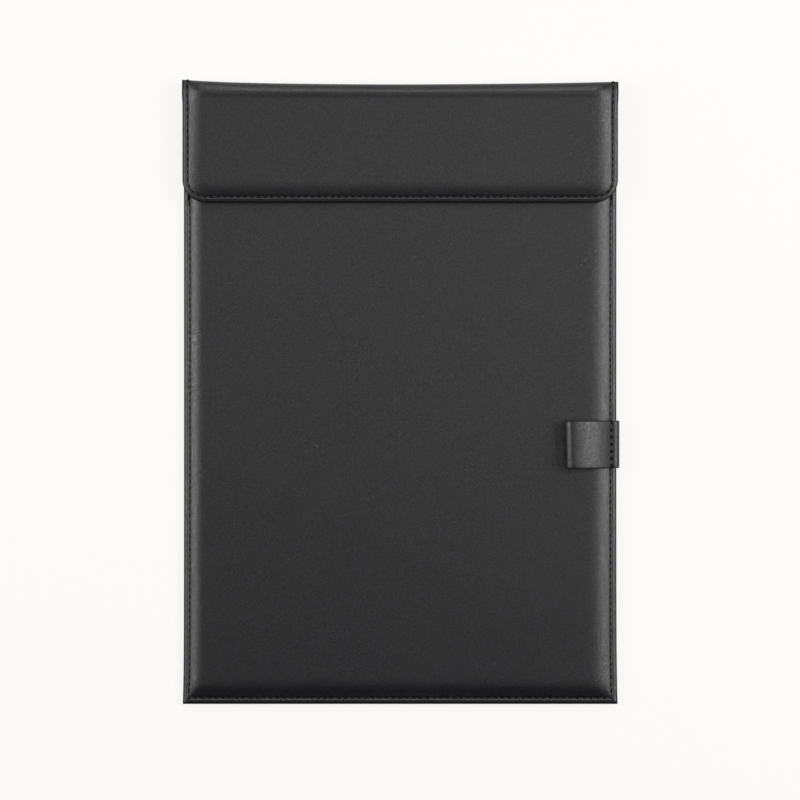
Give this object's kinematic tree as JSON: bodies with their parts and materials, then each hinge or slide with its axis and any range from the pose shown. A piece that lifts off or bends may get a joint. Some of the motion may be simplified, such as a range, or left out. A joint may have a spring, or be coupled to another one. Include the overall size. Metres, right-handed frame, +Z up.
{
  "type": "conference folder",
  "caption": "Padded A4 writing pad in black leather with a sewn hem, a magnetic flap across the top and a side pen loop.",
  "frame": {"origin": "on the underside of the back, in the middle of its width and of its closed length", "axes": "+X to the pen loop's side, +Y along the length to the spine, +Z up out of the writing panel"},
  "size_m": [0.2217, 0.315, 0.0144],
  "materials": {
    "cover_leather": "satin",
    "strap_leather": "satin",
    "thread": "satin",
    "greyboard": "matte",
    "foam": "matte",
    "steel_strip": "satin",
    "magnet": "satin"
  },
  "bodies": {
    "board": {"back_cover": "cover_leather", "board_core": "greyboard", "keeper_plate": "steel_strip", "board_foam": "foam", "front_cover": "cover_leather", "pen_loop_tab": "strap_leather"},
    "spine": {"spine_cover": "cover_leather", "spine_pad": "foam", "spine_lining": "cover_leather"},
    "flap": {"flap_cover": "cover_leather", "flap_foam": "foam", "flap_core": "greyboard", "flap_lining": "cover_leather", "flap_magnet_1": "magnet", "flap_magnet_2": "magnet", "flap_magnet_3": "magnet", "flap_magnet_4": "magnet"},
    "pen_loop": {"pen_loop": "strap_leather"}
  },
  "joints": [
    {"name": "spine_fold", "type": "hinge", "parent": "board", "child": "spine", "pos_m": [0, 0.15638, 0.00112], "axis": [-1, 0, 0], "range_deg": [0, 90]},
    {"name": "flap_fold", "type": "hinge", "parent": "spine", "child": "flap", "pos_m": [0, 0.15638, 0.01088], "axis": [-1, 0, 0], "range_deg": [0, 90]},
    {"name": "pen_loop_swing", "type": "hinge", "parent": "board", "child": "pen_loop", "pos_m": [0.10445, -0.0252, 0.0084], "axis": [0, 1, 0], "range_deg": [0, 90]}
  ]
}
